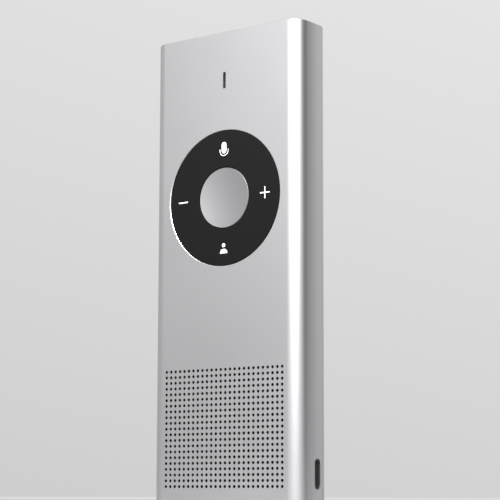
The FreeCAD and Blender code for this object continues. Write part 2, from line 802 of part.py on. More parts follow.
def make_ring_spring():
    """The spring-steel plate that lets the ring rock about two axes."""
    low = S.pivot_depth - S.spring_sheet / 2
    sheet_start = (0, low, S.ring_height)
    disc = rod("spring_disc", "Y", 15.4, sheet_start, S.spring_sheet)
    tabs_y = (low, low + S.spring_sheet)
    bar = box("spring_arms", (-17.2, 17.2), tabs_y, (S.ring_height - 0.8, S.ring_height + 0.8))
    hole = rod("spring_hole", "Y", 13.8, sheet_start, S.spring_sheet)
    sheet_ring = cut("spring_sheet_ring", fuse("spring_blank", [disc, bar]), [hole])
    ears = []
    for side, tag in ((-1, "lower"), (1, "upper")):
        heights = [S.ring_height + side * 12.9, S.ring_height + side * 14.2]
        heights.sort(key=lambda size: size.number)
        ears.append(box(f"spring_ear_{tag}", (-0.8, 0.8), tabs_y, heights))
    node(fuse("spring", [sheet_ring] + ears), "ring_spring")


def legend_outlines(start, depth, prefix):
    """The ring's four symbols as solids: a microphone, minus, plus and a person."""
    pieces = []

    def bar(tag, x, z):
        return box(f"{prefix}_{tag}", x, (start, start + depth), z)

    def disc(tag, radius, x, z):
        return rod(f"{prefix}_{tag}", "Y", radius, (x, start, z), depth)

    ring_z = S.ring_height
    stroke_z = (ring_z - SYMBOL_STROKE / 2, ring_z + SYMBOL_STROKE / 2)
    # Microphone: a capsule with an open cradle round its lower half
    capsule_low = ring_z + 11.75
    capsule_high = ring_z + 13.1
    capsule = fuse(
        f"{prefix}_capsule",
        [
            bar("capsule_bar", (-0.75, 0.75), (capsule_low, capsule_high)),
            disc("capsule_foot", 0.75, 0, capsule_low),
            disc("capsule_head", 0.75, 0, capsule_high),
        ],
    )
    pieces.append(capsule)
    outer = disc("cradle_outer", 1.38, 0, capsule_low)
    inner = disc("cradle_inner", 1.14, 0, capsule_low)
    band = cut(f"{prefix}_cradle_band", outer, [inner])
    above = bar("cradle_above", (-1.5, 1.5), (capsule_low, capsule_low + 1.5))
    arc = cut(f"{prefix}_cradle_arc", band, [above])
    arms = [
        bar(f"cradle_arm_{tag}", x, (capsule_low, capsule_low + 0.35))
        for tag, x in (("left", (-1.38, -1.14)), ("right", (1.14, 1.38)))
    ]
    pieces.append(fuse(f"{prefix}_cradle", [arc] + arms))
    # Minus on the left and plus on the right
    pieces.append(bar("minus", (-14.1, -11.2), stroke_z))
    across = bar("plus_across", (10.98, 13.82), stroke_z)
    upright_x = (12.4 - SYMBOL_STROKE / 2, 12.4 + SYMBOL_STROKE / 2)
    upright = bar("plus_upright", upright_x, (ring_z - 1.42, ring_z + 1.42))
    pieces.append(fuse(f"{prefix}_plus", [across, upright]))
    # Person: a round head over a half-round shoulder
    pieces.append(disc("head", 0.52, 0, ring_z - 11.75))
    shoulder = disc("shoulder_disc", 1.15, 0, ring_z - 13.75)
    below = bar("shoulder_below", (-1.5, 1.5), (ring_z - 15.5, ring_z - 13.75))
    pieces.append(cut(f"{prefix}_shoulder", shoulder, [below]))
    return pieces


def make_ring_key():
    """The black key ring: a moulded channel with a flange, four feet and two pivot posts."""
    body = new_body("ring")
    place(body, 0, 0, S.ring_height)
    flange_front = INNER_FRONT + 0.4
    flange_back = flange_front + 0.35
    web = FRONT + 1.1
    section = new_sketch(body, "ring_section", "XY_Plane")
    draw_polygon(
        section,
        [
            (RING_INNER + 0.1, FRONT),
            (RING_RADIUS - 0.1, FRONT),
            (RING_RADIUS, FRONT + 0.1),
            (RING_RADIUS, flange_front),
            (RING_RADIUS + 1.0, flange_front),
            (RING_RADIUS + 1.0, flange_back),
            (RING_RADIUS - 1.3, flange_back),
            (RING_RADIUS - 1.3, web),
            (RING_INNER + 1.0, web),
            (RING_INNER + 1.0, flange_back),
            (RING_INNER, flange_back),
            (RING_INNER, FRONT + 0.1),
        ],
    )
    turned = body.newObject("PartDesign::Revolution", "ring_turned")
    turned.Profile = section
    turned.ReferenceAxis = (section, ["V_Axis"])
    turned.Angle = 360
    feet = new_sketch(body, "ring_feet_outline", "XZ_Plane", -web)
    for u, v in ((S.key_circle, 0), (-S.key_circle, 0), (0, S.key_circle), (0, -S.key_circle)):
        draw_circle(feet, 1.2, u, v)
    extrude(body, "ring_feet", feet, KEY_FOOT - web, towards_normal=False)
    posts = new_sketch(body, "ring_posts_outline", "XZ_Plane", -web)
    for low, high in ((12.9, 13.7), (-13.7, -12.9)):
        draw_rectangle(posts, -0.8, 0.8, low, high)
    post_foot = S.pivot_depth - S.spring_sheet / 2 - 0.02
    extrude(body, "ring_posts", posts, post_foot - web, towards_normal=False)
    recesses = legend_outlines(FRONT, S.legend_depth, "recess")
    node(cut("ring_key_cut", body, recesses), "ring_key")
    group("ring_legends", legend_outlines(FRONT, S.legend_depth, "legend"))


def make_centre_button():
    """The dished aluminium cap and the plastic carrier with the flange that keeps it in."""
    body = new_body("button")
    place(body, 0, 0, S.ring_height)
    cap_back = FRONT + 1.4
    section = new_sketch(body, "button_section", "XY_Plane")
    draw_polygon(
        section,
        [
            (0, FRONT),
            (S.button_radius - 0.12, FRONT),
            (S.button_radius, FRONT + 0.12),
            (S.button_radius, cap_back),
            (0, cap_back),
        ],
    )
    turned = body.newObject("PartDesign::Revolution", "button_turned")
    turned.Profile = section
    turned.ReferenceAxis = (section, ["V_Axis"])
    turned.Angle = 360
    dish = doc.addObject("Part::Sphere", "dish_ball")
    bind(dish, "Radius", S.dish_radius)
    place(dish, 0, FRONT + S.dish_depth - S.dish_radius, S.ring_height)
    node(cut("button_cut", body, [dish]), "centre_button")

    neck_start = (0, cap_back, S.ring_height)
    flange_low = INNER_FRONT + 0.4 + 0.35 + 0.22
    neck = rod("carrier_neck", "Y", 6.6, neck_start, flange_low - cap_back)
    flange = rod("carrier_flange", "Y", 8.7, (0, flange_low, S.ring_height), 0.35)
    nub = rod("carrier_nub", "Y", 1.2, (0, flange_low + 0.35, S.ring_height), KEY_FOOT - flange_low - 0.35)
    node(fuse("carrier", [neck, flange, nub]), "button_carrier")


def build():
    make_body_shell()
    make_caps()
    make_cap_screws()
    make_chassis_tray()
    make_main_board()
    make_board_screws()
    make_key_domes()
    make_board_parts()
    make_antenna()
    make_battery()
    make_speaker()
    make_port()
    make_light_guide()
    make_key_frame()
    make_ring_spring()
    make_ring_key()
    make_centre_button()


def check():
    """Stop with a plain message where anything in the document failed."""
    doc.recompute()
    for part in doc.Objects:
        bad = {"Invalid", "Error"} & set(part.State)
        if bad:
            raise RuntimeError(f"{part.Label} is {sorted(bad)}")
    for part in NODES:
        shape = part.Shape
        if shape.isNull() or not shape.isValid() or not shape.Solids:
            raise RuntimeError(f"{part.Label} has no valid solid")


def export():
    os.makedirs("parts", exist_ok=True)
    for part in NODES:
        shape = part.Shape
        shape.exportStep(f"parts/{part.Label}.step")
        room = shape.BoundBox
        print(
            f"{part.Label:18s} solids {len(shape.Solids):2d} volume {shape.Volume:9.2f}"
            f"  x {room.XMin:7.2f} {room.XMax:7.2f}  y {room.YMin:6.2f} {room.YMax:6.2f}"
            f"  z {room.ZMin:7.2f} {room.ZMax:7.2f}"
        )


build()
check()
export()
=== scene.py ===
import math

import bmesh
import bpy
from bpy.props import FloatProperty, FloatVectorProperty, PointerProperty
from mathutils import Euler, Matrix, Vector


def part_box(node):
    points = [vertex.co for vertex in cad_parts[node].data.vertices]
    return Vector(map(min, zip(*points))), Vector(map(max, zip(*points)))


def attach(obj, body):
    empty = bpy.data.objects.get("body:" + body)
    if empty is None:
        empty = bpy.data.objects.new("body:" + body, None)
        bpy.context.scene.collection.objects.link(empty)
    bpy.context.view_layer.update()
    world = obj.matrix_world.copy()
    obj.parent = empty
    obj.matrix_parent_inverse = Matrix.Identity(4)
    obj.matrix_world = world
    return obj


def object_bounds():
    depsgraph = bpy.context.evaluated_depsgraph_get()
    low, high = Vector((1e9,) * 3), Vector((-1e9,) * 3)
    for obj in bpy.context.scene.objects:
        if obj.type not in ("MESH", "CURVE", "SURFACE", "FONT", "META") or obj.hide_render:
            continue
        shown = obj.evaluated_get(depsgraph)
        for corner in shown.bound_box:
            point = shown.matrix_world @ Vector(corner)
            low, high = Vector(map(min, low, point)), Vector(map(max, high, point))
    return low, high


bl_info = {
    "name": "Handheld Translator",
    "version": (1, 0, 0),
    "blender": (4, 5, 0),
    "location": "3D View > Sidebar > Translator",
    "description": "Finishes a slim hand-held translator and sets it in a soft studio",
    "category": "Object",
}

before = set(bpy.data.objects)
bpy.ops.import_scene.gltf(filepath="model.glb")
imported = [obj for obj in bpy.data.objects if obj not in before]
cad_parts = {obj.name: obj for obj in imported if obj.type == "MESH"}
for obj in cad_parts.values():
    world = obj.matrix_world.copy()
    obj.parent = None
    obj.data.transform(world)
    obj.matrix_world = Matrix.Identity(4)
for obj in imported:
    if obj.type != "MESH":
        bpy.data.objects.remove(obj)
CAD_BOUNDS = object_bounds()
MM = 0.001

# Smoothing of the model's own pieces, in metres and degrees
WELD_DISTANCE = 0.001 * MM
CREASE = 28.0
DISH_CREASE = 12.0

# Sizes in the finishes: the finest relief, the grain of moulded plastic, the threads of the mesh,
# the cells of rubber and foam, and the depths in the face's bores where the painted shade on their
# walls begins and is full
FINE_RELIEF = 0.02 * MM
MOULD_GRAIN = 0.18 * MM
THREAD_PITCH = 0.12 * MM
RUBBER_CELL = 0.12 * MM
FOAM_CELL = 0.3 * MM
BORE_SHADE_START = 0.02 * MM
BORE_SHADE_FULL = 0.08 * MM
# Painted shade: the near-black put on the walls of the speaker's bores, which really lie only in shade
BORE_SHADE_BLACK = (0.004, 0.004, 0.004)

# Radians that the wave node turns through in one unit of its scale
WAVE_TURN = 20.0

# Colours of what isn't set in the panel
SCREW_BLACK = (0.10, 0.10, 0.105)
WINDOW_SMOKE = (0.012, 0.012, 0.013)
SPRING_STEEL = (0.62, 0.60, 0.56)
TRAY_GREY = (0.055, 0.055, 0.06)
BOX_BLACK = (0.025, 0.025, 0.027)
TIN_PLATE = (0.58, 0.58, 0.57)
BOARD_GREEN = (0.02, 0.11, 0.06)
PAD_GOLD = (0.72, 0.6, 0.34)
CHIP_BLACK = (0.03, 0.03, 0.035)
PHOSPHOR_YELLOW = (0.75, 0.68, 0.42)
RUBBER_BLACK = (0.03, 0.03, 0.03)
FOAM_GREY = (0.09, 0.09, 0.095)
FOIL_SILVER = (0.48, 0.48, 0.5)
PLUG_CREAM = (0.7, 0.66, 0.56)
COPPER = (0.78, 0.4, 0.24)
FILM_AMBER = (0.5, 0.22, 0.05)
LEAD_RED = (0.5, 0.02, 0.02)
LEAD_BLACK = (0.02, 0.02, 0.02)
CLOTH_BLACK = (0.006, 0.006, 0.0065)
CONE_GREY = (0.08, 0.08, 0.085)
GILDING = (0.85, 0.62, 0.28)

# The port's contacts: lift over the tongue, margins at its root and mouth, softened edges
CONTACT_COUNT = 5
CONTACT_LIFT = 0.05 * MM
CONTACT_INSET = 0.3 * MM
CONTACT_MOUTH = 0.35 * MM
CONTACT_ROUNDING = 0.02 * MM

# The studio: the floor and where it fades, the world's levels, the lamp and the camera's range
PAPER_DARK = (0.50, 0.50, 0.505)
PAPER_PALE = (0.54, 0.54, 0.545)
FLOOR_DROP = 0.1 * MM
HAZE_START = 0.05
HAZE_END = 0.25
HAZE_LEVEL = 0.92
FOOT_LEVEL = 0.86
RISE_LEVEL = 0.6
COOL_TINT = 1.005
ROOM_LIGHT = (0.8, 0.8, 0.81, 1.0)
ROOM_STRENGTH = 0.7
LAMP_PLACE = (0.06, -0.33, 0.29)
LAMP_SIZE = (0.14, 0.20)
LAMP_SPREAD = 60.0
LAMP_AIM = 1.1
NEAREST = 0.01
FARTHEST = 20.0

# The surround's level by heading, in degrees from the front towards the object's right, as a
# share of the background's
SURROUND = (
    (-180, 1.04),
    (-150, 0.95),
    (-95, 0.80),
    (-60, 0.72),
    (-42, 0.56),
    (-22, 1.2),
    (10, 1.35),
    (45, 1.45),
    (62, 0.55),
    (80, 0.16),
    (100, 0.18),
    (125, 0.45),
    (150, 0.86),
    (165, 1.04),
    (180, 1.04),
)

# Nodes by the finish they take
HOUSING = ("body_shell",)
CAPS = ("top_cap", "bottom_cap")
DARK_SCREWS = ("cap_screws", "board_screws")
MOULDINGS = ("chassis_tray", "key_frame", "antenna_holder")
DARK_MOULDINGS = ("speaker_box", "button_carrier", "port_tongue")
STAMPINGS = ("key_domes", "ring_spring", "speaker_basket")
PLATED = ("screening_can", "microphones", "port_socket", "speaker_magnet")
BOARDS = ("main_board", "port_board", "battery_board")
RUBBERS = ("microphone_boots", "speaker_surround")
FOAMS = ("battery_foam", "speaker_gasket")
COPPERS = ("antenna_foil", "voice_coil")
LEADS = ("battery_leads", "speaker_leads")


# Shader sums


class Value:
    """A node's output socket that can be used in Python sums."""

    def __init__(self, graph, socket):
        self.graph = graph
        self.socket = socket

    def __add__(self, other):
        return self.graph.math("ADD", self, other)

    def __sub__(self, other):
        return self.graph.math("SUBTRACT", self, other)

    def __mul__(self, other):
        return self.graph.math("MULTIPLY", self, other)

    def __rsub__(self, other):
        return self.graph.math("SUBTRACT", other, self)

    __radd__ = __add__
    __rmul__ = __mul__

    def clamped(self):
        return self.graph.math("MINIMUM", self.graph.math("MAXIMUM", self, 0.0), 1.0)


class Graph:
    """The node tree of a material or of the world."""

    def __init__(self, owner):
        owner.use_nodes = True
        self.tree = owner.node_tree
        self.tree.nodes.clear()

    def node(self, kind, settings=(), inputs=()):
        """Add a node: its settings first, then the values or links of its sockets."""
        made = self.tree.nodes.new(kind)
        for name, value in dict(settings).items():
            setattr(made, name, value)
        for name, value in dict(inputs).items():
            self.feed(made.inputs[name], value)
        return made

    def feed(self, socket, value):
        if isinstance(value, Value):
            self.tree.links.new(value.socket, socket)
        elif isinstance(value, bpy.types.NodeSocket):
            self.tree.links.new(value, socket)
        else:
            socket.default_value = value

    def math(self, operation, *values):
        inputs = dict(enumerate(values))
        made = self.node("ShaderNodeMath", {"operation": operation}, inputs)
        return Value(self, made.outputs[0])

    def position(self):
        return self.node("ShaderNodeTexCoord").outputs["Object"]

    def axes(self):
        """The place's three coordinates as values."""
        split = self.node("ShaderNodeSeparateXYZ", inputs={"Vector": self.position()}).outputs
        return [Value(self, split[axis]) for axis in "XYZ"]

    def stretched(self, scale):
        inputs = {"Vector": self.position(), "Scale": scale}
        return self.node("ShaderNodeMapping", inputs=inputs).outputs["Vector"]

    def noise(self, scale, detail=2.0, roughness=0.5, vector=None):
        inputs = {
            "Vector": vector or self.position(),
            "Scale": scale,
            "Detail": detail,
            "Roughness": roughness,
        }
        return Value(self, self.node("ShaderNodeTexNoise", inputs=inputs).outputs["Fac"])

    def cells(self, scale, vector=None):
        inputs = {"Vector": vector or self.position(), "Scale": scale}
        return Value(self, self.node("ShaderNodeTexVoronoi", inputs=inputs).outputs["Distance"])

    def wave(self, scale, direction="X", vector=None):
        settings = {"wave_type": "BANDS", "bands_direction": direction, "wave_profile": "SIN"}
        inputs = {"Vector": vector or self.position(), "Scale": scale}
        return Value(self, self.node("ShaderNodeTexWave", settings, inputs).outputs["Fac"])

    def spread(self, value, low, high):
        """Stretch a value between two limits over 0 to 1."""
        inputs = {"Value": value, "From Min": low, "From Max": high}
        made = self.node("ShaderNodeMapRange", {"clamp": True}, inputs)
        return Value(self, made.outputs["Result"])

    def blend(self, factor, first, second):
        """A colour between two colours."""
        made = self.node("ShaderNodeMix", {"data_type": "RGBA"})
        self.feed(made.inputs[0], factor)
        for socket, colour in ((made.inputs[6], first), (made.inputs[7], second)):
            self.feed(socket, colour if isinstance(colour, Value) else (*colour[:3], 1.0))
        return Value(self, made.outputs[2])

    def bump(self, height, strength, distance, normal=None):
        inputs = {"Height": height, "Strength": strength, "Distance": distance}
        if normal:
            inputs["Normal"] = normal
        return Value(self, self.node("ShaderNodeBump", inputs=inputs).outputs["Normal"])

    def painted_bore_shade(self):
        """Painted shade: 1 on the walls of the speaker's holes, which are painted near-black in place
        of the shade inside them, and 0 on the tube's faces.
        """
        across, depth, height = self.axes()
        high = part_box("grille_mesh")[1]
        face = CAD_BOUNDS[0].y
        inside = self.spread(depth, face + BORE_SHADE_START, face + BORE_SHADE_FULL)
        inside = inside * self.math("LESS_THAN", depth, 0.0)
        inside = inside * self.math("LESS_THAN", height, high.z)
        return inside * self.math("LESS_THAN", self.math("ABSOLUTE", across), high.x)

    def crown(self, radius, normal):
        """Shade flat sides as if they bulged slightly about the object's middle plane."""
        depth = self.axes()[1]
        return self.bump(0.5 - depth * depth * (0.5 / radius), 1.0, 1.0, normal)

    def principled(self, **inputs):
        named = {name.replace("_", " "): value for name, value in inputs.items()}
        return self.node("ShaderNodeBsdfPrincipled", inputs=named)

    def mixed(self, factor, first, second):
        """A shader between two shaders."""
        inputs = {0: factor, 1: first.outputs[0], 2: second.outputs[0]}
        return self.node("ShaderNodeMixShader", inputs=inputs)

    def close(self, shader, kind="ShaderNodeOutputMaterial"):
        """Send a shader to the tree's output."""
        self.feed(self.node(kind).inputs["Surface"], shader.outputs[0])

    def surface(self, **inputs):
        """Close the tree with a Principled shader."""
        self.close(self.principled(**inputs))


def new_finish(name):
    material = bpy.data.materials.new(name)
    return material, Graph(material)


def shade(colour, amount):
    return tuple(channel * amount for channel in colour[:3])


# Finishes


def blasted_aluminium(name, colour, grain, roughness, crown_radius=None):
    """Clear-anodised metal with the fine, even grain of bead blasting."""
    material, graph = new_finish(name)
    fine = graph.noise(1.0 / grain, 3.0, 0.6)
    pits = graph.spread(graph.cells(0.55 / grain), 0.0, 0.9)
    cloud = graph.noise(38.0, 2.0)
    tone = (fine * 0.5 + pits * 0.3 + cloud * 0.2).clamped()
    normal = graph.bump(fine * 0.6 + pits * 0.4, 0.10, grain * 0.25)
    bright = graph.blend(tone, shade(colour, 0.95), shade(colour, 1.05))
    dark = 0.0
    if crown_radius:
        normal = graph.crown(crown_radius, normal)
        # Painted shade: the bores' walls are made near-black and not metal, in place of the shade
        # inside the holes
        dark = graph.painted_bore_shade()
        bright = graph.blend(dark, bright, BORE_SHADE_BLACK)
    graph.surface(
        Base_Color=bright,
        Metallic=1 - dark,
        Roughness=fine * 0.05 + cloud * 0.03 + (roughness - 0.04),
        Normal=normal,
    )
    return material


def moulded_plastic(name, colour, roughness):
    """Spark-eroded moulded plastic with slight flow marks."""
    material, graph = new_finish(name)
    pebble = graph.cells(1.0 / MOULD_GRAIN)
    fine = graph.noise(2.2 / MOULD_GRAIN, 3.0)
    flow = graph.noise(90.0, 3.0, vector=graph.stretched((1.0, 1.0, 0.3)))
    tone = (pebble * 0.35 + fine * 0.35 + flow * 0.3).clamped()
    graph.surface(
        Base_Color=graph.blend(tone, shade(colour, 0.86), shade(colour, 1.14)),
        Roughness=fine * 0.10 + flow * 0.06 + (roughness - 0.08),
        Normal=graph.bump(pebble * 0.7 + fine * 0.3, 0.25, MOULD_GRAIN * 0.2),
    )
    return material


def key_plastic(name, colour):
    """The ring's dense black plastic: satin, with a very fine grain."""
    material, graph = new_finish(name)
    fine = graph.noise(9000.0, 3.0, 0.6)
    sheen = graph.noise(60.0, 2.0)
    graph.surface(
        Base_Color=graph.blend(fine, shade(colour, 0.85), shade(colour, 1.15)),
        Roughness=fine * 0.10 + sheen * 0.06 + 0.42,
        Normal=graph.bump(fine, 0.12, FINE_RELIEF),
        Specular_IOR_Level=0.12,
    )
    return material


def printed_white(name, colour):
    """The second shot of white plastic in the ring's symbols."""
    material, graph = new_finish(name)
    fine = graph.noise(7000.0, 2.0)
    graph.surface(
        Base_Color=graph.blend(fine, shade(colour, 0.95), colour),
        Roughness=fine * 0.1 + 0.45,
        Normal=graph.bump(fine, 0.08, FINE_RELIEF),
    )
    return material


def rolled_steel(name, colour, roughness, direction="X"):
    """Sheet metal with the fine lines of rolling, and a little tarnish."""
    material, graph = new_finish(name)
    stretch = (1.0, 1.0, 0.04) if direction == "Z" else (0.04, 1.0, 1.0)
    lines = graph.noise(9000.0, 4.0, 0.7, vector=graph.stretched(stretch))
    stain = graph.noise(320.0, 3.0)
    tone = (lines * 0.6 + stain * 0.4).clamped()
    graph.surface(
        Base_Color=graph.blend(tone, shade(colour, 0.8), shade(colour, 1.1)),
        Metallic=1.0,
        Roughness=lines * 0.12 + stain * 0.12 + (roughness - 0.1),
        Normal=graph.bump(lines, 0.2, 0.01 * MM),
    )
    return material


def blackened_steel(name, colour):
    """Screws with a black oxide skin, worn a little brighter in patches."""
    material, graph = new_finish(name)
    fine = graph.noise(5200.0, 4.0, 0.65)
    worn = graph.spread(graph.noise(1500.0, 3.0), 0.58, 0.72)
    graph.surface(
        Base_Color=graph.blend(worn, shade(colour, 1.0), shade(colour, 2.6)),
        Metallic=0.9,
        Roughness=fine * 0.16 + 0.3,
        Normal=graph.bump(fine, 0.2, FINE_RELIEF),
    )
    return material


def solder_mask(name, colour):
    """A circuit board's mask, with raised tracks and bright ringed holes."""
    material, graph = new_finish(name)
    grid = graph.stretched((1.0, 0.0, 1.0))
    tracks = graph.spread(graph.wave(260.0, "Z", grid), 0.72, 0.8)
    breaks = graph.spread(graph.noise(160.0, 1.0, vector=grid), 0.46, 0.5)
    pads = 1 - graph.spread(graph.cells(300.0, vector=grid), 0.13, 0.16)
    raised = (tracks * breaks).clamped()
    green = graph.blend(raised, shade(colour, 0.75), shade(colour, 1.9))
    graph.surface(
        Base_Color=graph.blend(pads, green, PAD_GOLD),
        Metallic=pads,
        Roughness=0.38 - pads * 0.1 + graph.noise(2000.0) * 0.08,
        Normal=graph.bump(raised + pads * 0.6, 0.4, 0.03 * MM),
    )
    return material


def soft_rubber(name, colour, cell):
    """Rubber or foam with a cellular skin."""
    material, graph = new_finish(name)
    bubbles = graph.cells(1.0 / cell)
    fine = graph.noise(6000.0, 3.0)
    graph.surface(
        Base_Color=graph.blend(bubbles, shade(colour, 0.7), shade(colour, 1.25)),
        Roughness=fine * 0.15 + 0.75,
        Normal=graph.bump(bubbles * 0.8 + fine * 0.2, 0.5, cell * 0.25),
    )
    return material


def dust_mesh(name, colour, pitch):
    """A plain-woven black cloth behind the speaker holes."""
    material, graph = new_finish(name)
    turns = 2 * math.pi / pitch / WAVE_TURN
    warp = graph.wave(turns, "X")
    weft = graph.wave(turns, "Z")
    crossing = (warp * weft).clamped()
    graph.surface(
        Base_Color=graph.blend(crossing, shade(colour, 0.3), shade(colour, 1.6)),
        Roughness=graph.noise(3000.0) * 0.1 + 0.8,
        Normal=graph.bump(warp * 0.5 + weft * 0.5, 0.6, pitch * 0.2),
    )
    return material


def pouch_foil(name, colour):
    """The battery's laminated foil: dull, dimpled and slightly creased."""
    material, graph = new_finish(name)
    creases = graph.noise(220.0, 5.0, 0.65)
    dimples = graph.cells(1100.0)
    graph.surface(
        Base_Color=graph.blend(creases, shade(colour, 0.85), shade(colour, 1.1)),
        Metallic=0.85,
        Roughness=creases * 0.15 + 0.3,
        Normal=graph.bump(creases * 0.8 + dimples * 0.2, 0.35, 0.06 * MM),
    )
    return material


def bare_metal(name, colour, roughness):
    """Copper or gilding with slight tarnish."""
    material, graph = new_finish(name)
    stain = graph.noise(500.0, 4.0, 0.6)
    graph.surface(
        Base_Color=graph.blend(stain, shade(colour, 0.75), shade(colour, 1.1)),
        Metallic=1.0,
        Roughness=stain * 0.2 + (roughness - 0.1),
        Normal=graph.bump(stain, 0.1, FINE_RELIEF),
    )
    return material


def amber_film(name, colour):
    """A flat cable's film, with its copper tracks showing through."""
    material, graph = new_finish(name)
    tracks = graph.spread(graph.wave(420.0, "X"), 0.4, 0.55)
    graph.surface(
        Base_Color=graph.blend(tracks, shade(colour, 0.8), shade(colour, 1.5)),
        Roughness=graph.noise(900.0) * 0.1 + 0.25,
        Normal=graph.bump(tracks, 0.3, FINE_RELIEF),
    )
    return material


def smoked_clear(name, colour):
    """The status light's dark window: nearly black when unlit, paler at its foot."""
    material, graph = new_finish(name)
    low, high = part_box("light_guide")
    glow = 1 - graph.spread(graph.axes()[2], low.z, high.z)
    fine = graph.noise(4000.0, 2.0)
    graph.surface(
        Base_Color=graph.blend(glow, shade(colour, 0.3), shade(colour, 2.0)),
        Roughness=fine * 0.06 + 0.3,
        Coat_Weight=glow * 0.1,
        Specular_IOR_Level=0.2,
        Normal=graph.bump(fine, 0.03, FINE_RELIEF),
    )
    return material


def lead_sleeves(name, first, second):
    """Wire sleeving: one colour on each side of the object's middle."""
    material, graph = new_finish(name)
    side = graph.math("GREATER_THAN", graph.axes()[0], 0.0)
    fine = graph.noise(3000.0, 2.0)
    graph.surface(
        Base_Color=graph.blend(side, second, first),
        Roughness=fine * 0.1 + 0.4,
        Normal=graph.bump(fine, 0.1, FINE_RELIEF),
    )
    return material


# Putting finishes on the model's own pieces


def smooth(piece, angle):
    """Join the loose triangles and shade curved faces smooth, with flat faces kept flat."""
    piece.data.polygons.foreach_set("use_smooth", [True] * len(piece.data.polygons))
    weld = piece.modifiers.new("weld", "WELD")
    weld.merge_threshold = WELD_DISTANCE
    split = piece.modifiers.new("crease", "EDGE_SPLIT")
    split.split_angle = math.radians(angle)
    split.use_edge_sharp = False
    even = piece.modifiers.new("even", "WEIGHTED_NORMAL")
    even.mode = "FACE_AREA"
    even.weight = 100
    even.keep_sharp = True


def dress(names, material, angle=CREASE):
    """Give the named pieces a finish and smooth them."""
    for name in names:
        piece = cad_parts[name]
        piece.data.materials.clear()
        piece.data.materials.append(material)
        smooth(piece, angle)


def piece_from(mesh, name, material, body):
    """Turn a finished bmesh into a piece that rides on a body."""
    bmesh.ops.recalc_face_normals(mesh, faces=mesh.faces[:])
    data = bpy.data.meshes.new(name)
    mesh.to_mesh(data)
    mesh.free()
    piece = bpy.data.objects.new(name, data)
    bpy.context.scene.collection.objects.link(piece)
    data.materials.append(material)
    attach(piece, body)


def add_block(mesh, low, high, rounding):
    """Add a box with softened edges between two corners."""
    size = high - low
    place = Matrix.Translation((low + high) / 2) @ Matrix.Diagonal((*size, 1.0))
    made = bmesh.ops.create_cube(mesh, size=1.0, matrix=place)
    edges = {edge for vertex in made["verts"] for edge in vertex.link_edges}
    bmesh.ops.bevel(
        mesh,
        geom=list(edges),
        offset=rounding,
        affect="EDGES",
        segments=2,
        profile=0.5,
        material=-1,
    )


class TranslatorFinish(bpy.types.PropertyGroup):
    """The colours and grain that a user would change."""

    metal: FloatVectorProperty(
        name="Metal",
        description="Colour of the anodised aluminium",
        subtype="COLOR",
        size=3,
        default=(0.60, 0.60, 0.61),
    )
    metal_grain: FloatProperty(
        name="Metal grain",
        description="Size of the blasted grain",
        subtype="DISTANCE",
        default=0.00011,
    )
    metal_roughness: FloatProperty(
        name="Metal roughness",
        description="How widely the metal spreads a reflection",
        default=0.38,
    )
    side_crown: FloatProperty(
        name="Side crown",
        description="Radius that the tube's sides seem to bulge to",
        subtype="DISTANCE",
        default=0.016,
    )
    key: FloatVectorProperty(
        name="Keys",
        description="Colour of the key ring",
        subtype="COLOR",
        size=3,
        default=(0.005, 0.005, 0.0053),
    )
    button: FloatVectorProperty(
        name="Button",
        description="Colour of the centre button's aluminium",
        subtype="COLOR",
        size=3,
        default=(0.46, 0.46, 0.47),
    )
    symbol: FloatVectorProperty(
        name="Symbols",
        description="Colour of the ring's symbols",
        subtype="COLOR",
        size=3,
        default=(0.74, 0.74, 0.74),
    )
    cap: FloatVectorProperty(
        name="Caps",
        description="Colour of the end caps",
        subtype="COLOR",
        size=3,
        default=(0.42, 0.42, 0.43),
    )


class TranslatorStudio(bpy.types.PropertyGroup):
    """The studio's floor, background, lamp and camera."""

    background: FloatProperty(
        name="Background",
        description="Brightness of the pale background",
        default=0.79,
    )
    floor_size: FloatProperty(
        name="Floor",
        description="Width of the floor",
        subtype="DISTANCE",
        default=3.0,
    )
    front_lamp: FloatProperty(
        name="Front lamp",
        description="Power of the soft lamp over the face",
        subtype="POWER",
        default=0.46,
    )
    lens: FloatProperty(
        name="Lens",
        description="Focal length of the camera in millimetres",
        default=119.79,
    )
    camera_place: FloatVectorProperty(
        name="Camera",
        description="Where the camera stands",
        subtype="XYZ",
        size=3,
        default=(0.24389, -0.32394, 0.003),
    )
    camera_turn: FloatVectorProperty(
        name="Camera turn",
        description="Pitch from level, roll and heading of the camera, in degrees",
        size=3,
        default=(7.52, -0.138, 36.6),
    )
    camera_rise: FloatProperty(
        name="Camera rise",
        description="Vertical shift of the lens",
        default=0.05,
    )


class TRANSLATOR_OT_housing(bpy.types.Operator):
    """Finish the aluminium tube, its caps, the screws and the status window"""

    bl_idname = "translator.housing"
    bl_label = "Finish housing"

    def execute(self, context):
        look = context.scene.translator_finish
        metal = blasted_aluminium(
            "anodised_aluminium", look.metal, look.metal_grain, look.metal_roughness, look.side_crown
        )
        dress(HOUSING, metal)
        dress(CAPS, moulded_plastic("cap_plastic", look.cap, 0.5))
        dress(DARK_SCREWS, blackened_steel("screw_steel", SCREW_BLACK))
        dress(("light_guide",), smoked_clear("smoked_clear", WINDOW_SMOKE))
        return {"FINISHED"}


class TRANSLATOR_OT_keys(bpy.types.Operator):
    """Finish the key ring, its symbols, the dished centre button and the springs under them"""

    bl_idname = "translator.keys"
    bl_label = "Finish keys"

    def execute(self, context):
        look = context.scene.translator_finish
        dress(("ring_key",), key_plastic("key_black", look.key))
        dress(("ring_legends",), printed_white("legend_white", look.symbol))
        button = blasted_aluminium(
            "button_aluminium", look.button, look.metal_grain, look.metal_roughness
        )
        dress(("centre_button",), button, DISH_CREASE)
        dress(STAMPINGS, rolled_steel("dome_steel", SPRING_STEEL, 0.32))
        return {"FINISHED"}


